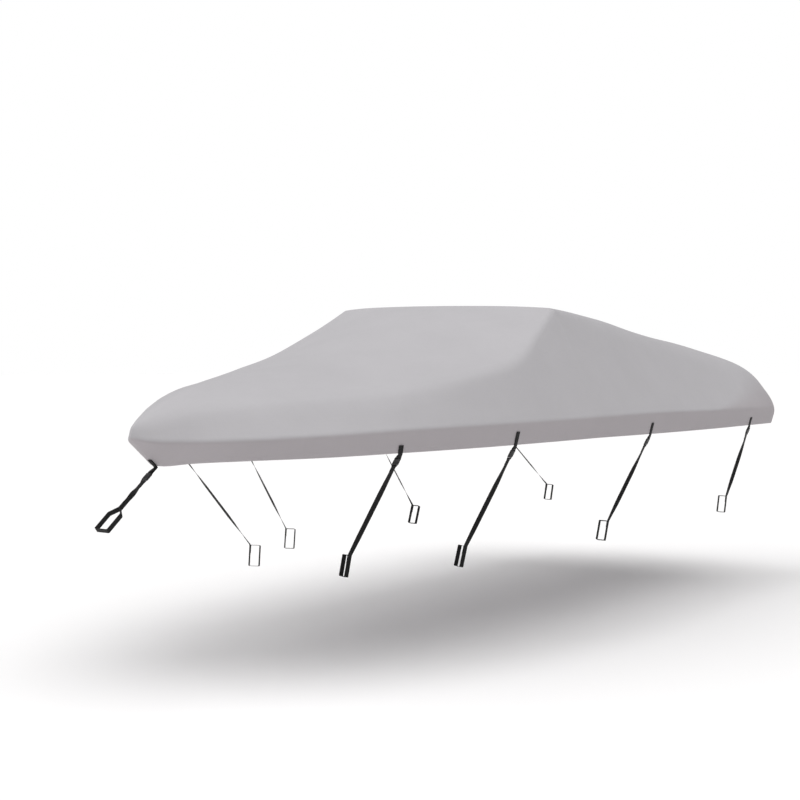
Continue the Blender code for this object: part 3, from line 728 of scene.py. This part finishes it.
# Outlines from above: x, y and the radius of each corner
SOCKET_FRAME = (
    (-17.0, 11.0, 0.0), (-17.0, -1.6, 3.0), (17.0, -1.6, 3.0), (17.0, 11.0, 0.0),
    (14.0, 11.0, 0.0), (14.0, 1.6, 1.0), (-14.0, 1.6, 1.0), (-14.0, 11.0, 0.0),
)
PLUG_FRAME = (
    (-17.0, 49.5, 0.0), (-14.0, 49.5, 0.0), (-14.0, 58.4, 1.0), (14.0, 58.4, 1.0),
    (14.0, 49.5, 0.0), (17.0, 49.5, 0.0), (17.0, 61.6, 3.0), (-17.0, 61.6, 3.0),
)
PLUG_SHOULDER = (
    (-17.0, 40.6, 0.8), (17.0, 40.6, 0.8), (17.0, 51.0, 3.2), (-17.0, 51.0, 3.2),
)
PLUG_GRIP = ((-8.5, 44.2, 0.9), (8.5, 44.2, 0.9), (8.5, 47.4, 0.9), (-8.5, 47.4, 0.9))
PLUG_GUIDE = ((-1.5, 14.0, 1.0), (1.5, 14.0, 1.0), (1.5, 42.0, 0.0), (-1.5, 42.0, 0.0))
PLUG_PRONG = (
    (11.1, 42.0, 0.0), (11.1, 14.0, 0.9), (13.4, 14.0, 0.9), (14.6, 16.6, 1.2), (14.6, 42.0, 0.0),
)
PLUG_BUTTON = (
    (12.0, 15.8, 0.6), (14.6, 15.8, 1.2), (16.8, 20.6, 3.0), (16.8, 28.2, 0.8), (12.0, 28.2, 0.6),
)


def buckle_lie(strap):
    """The buckle's place, from the strap's fold round the plug's bar and its first flat stretch."""
    route = strap_route(strap)
    near, far = route[FOLD_RINGS[0]][0], route[FOLD_RINGS[1]][0]
    away = (far - near).normalized()
    along = (route[FLAT_RINGS[1]][0] - route[FLAT_RINGS[0]][0]).normalized()
    across = along.cross(away)
    origin = (near + far) / 2 - along * (PLUG_BAR_AT * MM)
    turned = Matrix((across, along, away)).transposed().to_4x4()
    return Matrix.Translation(origin) @ turned @ Matrix.Scale(MM, 4)


def rounded_outline(corners):
    """The outline's points, each corner turned into a short curve."""
    found = []
    for i, (x, y, radius) in enumerate(corners):
        corner = Vector((x, y))
        if not radius:
            found.append(corner)
            continue
        start = corner + (Vector(corners[i - 1][:2]) - corner).normalized() * radius
        end = corner + (Vector(corners[(i + 1) % len(corners)][:2]) - corner).normalized() * radius
        for k in range(ROUND_STEPS + 1):
            t = k / ROUND_STEPS
            found.append(start * (1 - t) ** 2 + corner * (2 * t * (1 - t)) + end * t ** 2)
    return found


def drawn_in_outline(corners, inset):
    """The outline drawn in by that much all round, with as many points as it has undrawn."""
    flat = [Vector((x, y)) for x, y, _ in corners]
    after_each = flat[1:] + flat[:1]
    ways = [(b - a).normalized() for a, b in zip(flat, after_each)]
    facing = math.copysign(1.0, sum(a.cross(b) for a, b in zip(flat, after_each)))
    drawn = []
    for i, (_, _, radius) in enumerate(corners):
        before, after = ways[i - 1], ways[i]
        share = 1 + before.dot(after)
        inward = Vector((-before.y - after.y, before.x + after.x)) * (facing / share)
        if radius:
            radius = max(radius - inset * facing * before.cross(after) / share, LEAST_ROUND)
        drawn.append((*(flat[i] + inward * inset), radius))
    return rounded_outline(drawn)


def plate(bm, corners, low, high, rim):
    """A flat moulded body of that outline between two heights, its rims rounded."""
    profile = []
    for k in range(RIM_STEPS + 1):
        angle = math.pi / 2 * k / RIM_STEPS
        profile.append((rim * (1 - math.cos(angle)), rim * (1 - math.sin(angle))))
    heights = [(inset, low + rise) for inset, rise in reversed(profile)]
    heights += [(inset, high - fall) for inset, fall in profile]
    rings = [
        [bm.verts.new((*point, height)) for point in drawn_in_outline(corners, inset)]
        for inset, height in heights
    ]
    for a, b in zip(rings, rings[1:]):
        for i in range(len(a)):
            bm.faces.new((a[i - 1], a[i], b[i], b[i - 1]))
    bm.faces.new(rings[0])
    bm.faces.new(rings[-1])


def housing_ring(shape, drawn_in, sunk):
    """The housing's section, x and z, round from the lower edge of its right side's window."""
    half, high, corner = shape
    half, high = half - drawn_in, high - drawn_in
    quarter = [(half, WINDOW_HALF)]
    for k in range(ROUND_STEPS + 1):
        angle = math.pi / 2 * k / ROUND_STEPS
        quarter.append(
            (half - corner * (1 - math.cos(angle)), high - corner * (1 - math.sin(angle)))
        )
    quarter += [(GRIP_HALF + GRIP_SLOPE, high), (GRIP_HALF, high - sunk), (GRIP_HALF / 2, high - sunk)]
    crown = SOCKET_CROWN if shape is SOCKET_OUTSIDE else 0.0
    quarter = [(x, z + crown * (1 - (x / half) ** 2) * (z > WINDOW_HALF)) for x, z in quarter]
    top = quarter + [(0.0, high - sunk + crown)] + [(-x, z) for x, z in reversed(quarter)]
    return [(half, -WINDOW_HALF)] + top + [(x, -z) for x, z in reversed(top)][:-1]


def build_socket(node, lie, finish):
    """The half on the tab: a hollow housing with side windows and a grip, and a frame."""
    bm = bmesh.new()
    outside, inside = [], []
    for y, drawn_in, sunk in SOCKET_STATIONS:
        for shape, rings, wanted in (
            (SOCKET_OUTSIDE, outside, True), (SOCKET_INSIDE, inside, y >= INSIDE_FROM),
        ):
            ring = housing_ring(shape, *((drawn_in, sunk) if rings is outside else (0.0, 0.0)))
            rings.append([bm.verts.new((x, y, z)) for x, z in ring] if wanted else None)
    count = len(outside[0])
    sides = (0, count // 2)          # the stretches of the ring that the windows cut
    for a in range(len(SOCKET_STATIONS) - 1):
        y_a, y_b = SOCKET_STATIONS[a][0], SOCKET_STATIONS[a + 1][0]
        window = y_a >= WINDOW[0] and y_b <= WINDOW[1]
        for i in range(count):
            k = (i + 1) % count
            if window and i in sides:
                for j in (i, k):
                    bm.faces.new((outside[a][j], outside[a + 1][j], inside[a + 1][j], inside[a][j]))
                continue
            for rings in (outside, inside):
                if rings[a]:
                    bm.faces.new((rings[a][i], rings[a][k], rings[a + 1][k], rings[a + 1][i]))
        for i in sides:
            for at in ((a,) if y_a == WINDOW[0] else (a + 1,) if y_b == WINDOW[1] else ()):
                bm.faces.new((outside[at][i], outside[at][i + 1], inside[at][i + 1], inside[at][i]))
    for i in range(count):
        k = (i + 1) % count
        bm.faces.new((outside[-1][i], outside[-1][k], inside[-1][k], inside[-1][i]))
    bm.faces.new(outside[0])
    bm.faces.new(next(ring for ring in inside if ring))
    plate(bm, SOCKET_FRAME, -FRAME_HALF, FRAME_HALF, FRAME_RIM)
    return finish_buckle(bm, node, lie, finish)


def build_plug(node, lie, finish):
    """The half on the strap: a shoulder with two springing prongs, a guide and a frame."""
    bm = bmesh.new()
    plate(bm, PLUG_SHOULDER, -SHOULDER_HALF, SHOULDER_HALF, SHOULDER_RIM)
    for face in (-1, 1):
        plate(bm, PLUG_GRIP, *sorted(face * height for height in GRIP_HEIGHTS), GRIP_RIM)
    plate(bm, PLUG_FRAME, -FRAME_HALF, FRAME_HALF, FRAME_RIM)
    plate(bm, PLUG_GUIDE, -PRONG_HALF, PRONG_HALF, PRONG_RIM)
    for side in (-1, 1):
        for shape, half in ((PLUG_PRONG, PRONG_HALF), (PLUG_BUTTON, BUTTON_HALF)):
            plate(bm, [(side * x, y, r) for x, y, r in shape], -half, half, PRONG_RIM)
    return finish_buckle(bm, node, lie, finish)


def finish_buckle(bm, node, lie, finish):
    bmesh.ops.transform(bm, matrix=lie, verts=bm.verts)
    bmesh.ops.recalc_face_normals(bm, faces=bm.faces)
    for face in bm.faces:
        face.smooth = True
    for edge in bm.edges:
        edge.smooth = edge.calc_face_angle(math.pi) < SHARP
    made = piece_from(bm, node + "_moulding", finish)
    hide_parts(node)
    return made


# ---------------------------------------------------------------- finishes

# the top's plain grey, and the skirt's grey, which is darker and a little warmer as painted shade
TOP_GREY = "#B6B4B7"
SKIRT_PAINTED_SHADE_GREY = "#AAA5A8"
PATCH_SIZE = 0.28
SLUB_LONG = 0.060
SLUB_WIDE = 4 * MM
PATCH_DETAIL = 4.0
PATCH_ROUGHNESS = 0.6
SLUB_SHARE = 0.5
UNEVEN = 0.035
UNEVEN_RANGE = (0.6, 1.4)    # of the patches and the thick threads together
# by this share the weave's crowns are painted lighter and its hollows darker: painted highlight and
# shade
WEAVE_PAINTED_SHADE = 0.03
CLOTH_PITCH = 4.8 * MM       # two threads each way
CLOTH_BUMP = {"Distance": 0.12 * MM, "Strength": 0.6}
CLOTH_LOOK = {"Roughness": 0.72, "Specular IOR Level": 0.35}
WEB_BLACK = "#0C0C0D"
THREAD_BLACK = "#262628"
WEB_PITCH = (4.2 * MM, 4.0 * MM)
WEB_BUMP = {"Distance": 0.25 * MM, "Strength": 0.8}
WEB_LOOK = {"Roughness": 0.6, "Specular IOR Level": 0.25}
THREAD = 0.07                # half the width of a line of stitching, as a share of the box
THREAD_RISE = 1.5
STITCH = 3.2 * MM
STITCH_GAP = -0.55           # where the wave along a seam is lower than this, no thread shows
ACETAL_BLACK = "#0E0E10"
GRAIN = 0.6 * MM
GRAIN_BUMP = {"Distance": 0.05 * MM, "Strength": 0.5}
ACETAL_LOOK = {"Roughness": 0.38, "Specular IOR Level": 0.4}
FINE_DETAIL = 2.0


def set_look(shader, look):
    for socket, value in look.items():
        shader.inputs[socket].default_value = value


def woven(tree, layer, pitch_across, pitch_along):
    """A plain weave's height, -1 to 1, over the map of that name, from its two pitches in metres."""
    spot = add_node(tree, "ShaderNodeUVMap", {"uv_map": layer}).outputs["UV"]
    turns = (2 * math.pi / pitch_across, 2 * math.pi / pitch_along, 0.0)
    phase = add_node(tree, "ShaderNodeVectorMath", {"operation": "MULTIPLY"}, i0=spot, i1=turns)
    wave = add_node(
        tree, "ShaderNodeVectorMath", {"operation": "SINE"}, i0=phase.outputs[0],
    ).outputs[0]
    axes = add_node(tree, "ShaderNodeSeparateXYZ", i0=wave)
    return add_node(
        tree, "ShaderNodeMath", {"operation": "MULTIPLY"}, i0=axes.outputs[0], i1=axes.outputs[1],
    ).outputs[0]


def polyester_oxford():
    """Coated polyester oxford: matt, light grey, a plain weave under a thin dull coating.

    Its threads are 0.6 mm apart; they are drawn 4 times coarser, or they would not show at all.
    """
    made, tree, shader = new_material("coated_polyester_oxford_cloth")
    # the skirt below the crease is painted darker and slightly warmer than the top: painted shade, as
    # it faces down and gets less light; at the stern's corners the painted shade reaches up their
    # rounding
    above = add_node(tree, "ShaderNodeAttribute", {"attribute_name": "clear_of_painted_shade"}).outputs["Fac"]
    tone = add_node(
        tree, "ShaderNodeMix", {"data_type": "RGBA"},
        i0=above, i6=srgb(SKIRT_PAINTED_SHADE_GREY), i7=srgb(TOP_GREY),
    ).outputs[2]
    # soft uneven patches of coating a hand or two wide, and the weave's thin and thick threads
    spot = add_node(tree, "ShaderNodeTexCoord").outputs["Object"]
    patch = add_node(
        tree, "ShaderNodeTexNoise", Vector=spot, Scale=1 / PATCH_SIZE,
        Detail=PATCH_DETAIL, Roughness=PATCH_ROUGHNESS,
    ).outputs[0]
    thread_map = add_node(tree, "ShaderNodeUVMap", {"uv_map": "cloth"}).outputs["UV"]
    streaks = []
    for stretch in ((1 / SLUB_LONG, 1 / SLUB_WIDE, 0.0), (1 / SLUB_WIDE, 1 / SLUB_LONG, 0.0)):
        drawn = add_node(
            tree, "ShaderNodeVectorMath", {"operation": "MULTIPLY"}, i0=thread_map, i1=stretch,
        ).outputs[0]
        streaks.append(add_node(
            tree, "ShaderNodeTexNoise", Vector=drawn, Scale=1.0, Detail=FINE_DETAIL,
        ).outputs[0])
    slub = add_node(
        tree, "ShaderNodeMath", {"operation": "ADD"}, i0=streaks[0], i1=streaks[1],
    ).outputs[0]
    uneven = add_node(
        tree, "ShaderNodeMath", {"operation": "MULTIPLY_ADD"}, i0=slub, i1=SLUB_SHARE, i2=patch,
    ).outputs[0]
    weave = woven(tree, "cloth", CLOTH_PITCH, CLOTH_PITCH)
    shade = add_node(
        tree, "ShaderNodeMapRange", i0=uneven, i1=UNEVEN_RANGE[0], i2=UNEVEN_RANGE[1],
        i3=1 - UNEVEN, i4=1 + UNEVEN,
    ).outputs[0]
    # the weave's crowns painted a touch lighter and its hollows darker: painted highlight and shade on
    # the threads
    shade = add_node(
        tree, "ShaderNodeMath", {"operation": "MULTIPLY_ADD"}, i0=weave, i1=WEAVE_PAINTED_SHADE, i2=shade,
    ).outputs[0]
    colour = add_node(
        tree, "ShaderNodeVectorMath", {"operation": "SCALE"}, i0=tone, Scale=shade,
    ).outputs[0]
    bump = add_node(tree, "ShaderNodeBump", Height=weave, **CLOTH_BUMP)
    tree.links.new(colour, shader.inputs["Base Color"])
    tree.links.new(bump.outputs[0], shader.inputs["Normal"])
    set_look(shader, CLOTH_LOOK)
    return made


def black_webbing():
    """Woven polypropylene: black, a low silky sheen, ribs across it, box seams where it is sewn.

    Its ribs are 1.2 mm apart; they are drawn a little coarser, at 2 mm, so that they show.
    """
    made, tree, shader = new_material("black_polypropylene_webbing")
    weave = woven(tree, "webbing", *WEB_PITCH)
    # the box and cross of thread on each sewn lap, in a map where the box is from -1 to 1
    lap = add_node(tree, "ShaderNodeUVMap", {"uv_map": "lap"}).outputs["UV"]
    size = add_node(tree, "ShaderNodeVectorMath", {"operation": "ABSOLUTE"}, i0=lap).outputs[0]
    sides = add_node(tree, "ShaderNodeSeparateXYZ", i0=size)
    u, v = sides.outputs[0], sides.outputs[1]
    reach = add_node(tree, "ShaderNodeMath", {"operation": "MAXIMUM"}, i0=u, i1=v).outputs[0]
    box = add_node(
        tree, "ShaderNodeMath", {"operation": "COMPARE"}, i0=reach, i1=1.0, i2=THREAD,
    ).outputs[0]
    cross = add_node(
        tree, "ShaderNodeMath", {"operation": "COMPARE"}, i0=u, i1=v, i2=THREAD,
    ).outputs[0]
    inside = add_node(
        tree, "ShaderNodeMath", {"operation": "LESS_THAN"}, i0=reach, i1=1.0,
    ).outputs[0]
    cross = add_node(
        tree, "ShaderNodeMath", {"operation": "MULTIPLY"}, i0=cross, i1=inside,
    ).outputs[0]
    lines = add_node(tree, "ShaderNodeMath", {"operation": "MAXIMUM"}, i0=box, i1=cross).outputs[0]
    spot = add_node(tree, "ShaderNodeUVMap", {"uv_map": "webbing"}).outputs["UV"]
    step = add_node(
        tree, "ShaderNodeVectorMath", {"operation": "DOT_PRODUCT"},
        i0=spot, i1=(2 * math.pi / STITCH, 2 * math.pi / STITCH, 0.0),
    ).outputs["Value"]
    gap = add_node(tree, "ShaderNodeMath", {"operation": "SINE"}, i0=step).outputs[0]
    dash = add_node(
        tree, "ShaderNodeMath", {"operation": "GREATER_THAN"}, i0=gap, i1=STITCH_GAP,
    ).outputs[0]
    thread = add_node(
        tree, "ShaderNodeMath", {"operation": "MULTIPLY"}, i0=lines, i1=dash,
    ).outputs[0]
    colour = add_node(
        tree, "ShaderNodeMix", {"data_type": "RGBA"},
        i0=thread, i6=srgb(WEB_BLACK), i7=srgb(THREAD_BLACK),
    ).outputs[2]
    height = add_node(
        tree, "ShaderNodeMath", {"operation": "MULTIPLY_ADD"}, i0=thread, i1=THREAD_RISE, i2=weave,
    ).outputs[0]
    bump = add_node(tree, "ShaderNodeBump", Height=height, **WEB_BUMP)
    tree.links.new(colour, shader.inputs["Base Color"])
    tree.links.new(bump.outputs[0], shader.inputs["Normal"])
    set_look(shader, WEB_LOOK)
    return made


def black_acetal():
    """Moulded acetal: black, a fine spark-etched skin with soft highlights on its edges."""
    made, tree, shader = new_material("moulded_black_acetal")
    spot = add_node(tree, "ShaderNodeTexCoord").outputs["Object"]
    grain = add_node(
        tree, "ShaderNodeTexNoise", Vector=spot, Scale=1 / GRAIN, Detail=FINE_DETAIL,
    ).outputs[0]
    bump = add_node(tree, "ShaderNodeBump", Height=grain, **GRAIN_BUMP)
    tree.links.new(bump.outputs[0], shader.inputs["Normal"])
    shader.inputs["Base Color"].default_value = srgb(ACETAL_BLACK)
    set_look(shader, ACETAL_LOOK)
    return made


def main():
    make_camera()
    make_floor()
    make_light()
    build_cover(polyester_oxford())
    web = black_webbing()
    plastic = black_acetal()
    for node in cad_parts:
        if node.startswith(("tab_", "strap_")):
            build_web(node, web)
        elif node.startswith("buckle_plug_"):
            socket = node.replace("plug", "socket")
            lie = buckle_lie(node.replace("buckle_plug", "strap"))
            build_socket(socket, lie, plastic)
            build_plug(node, lie, plastic)


main()
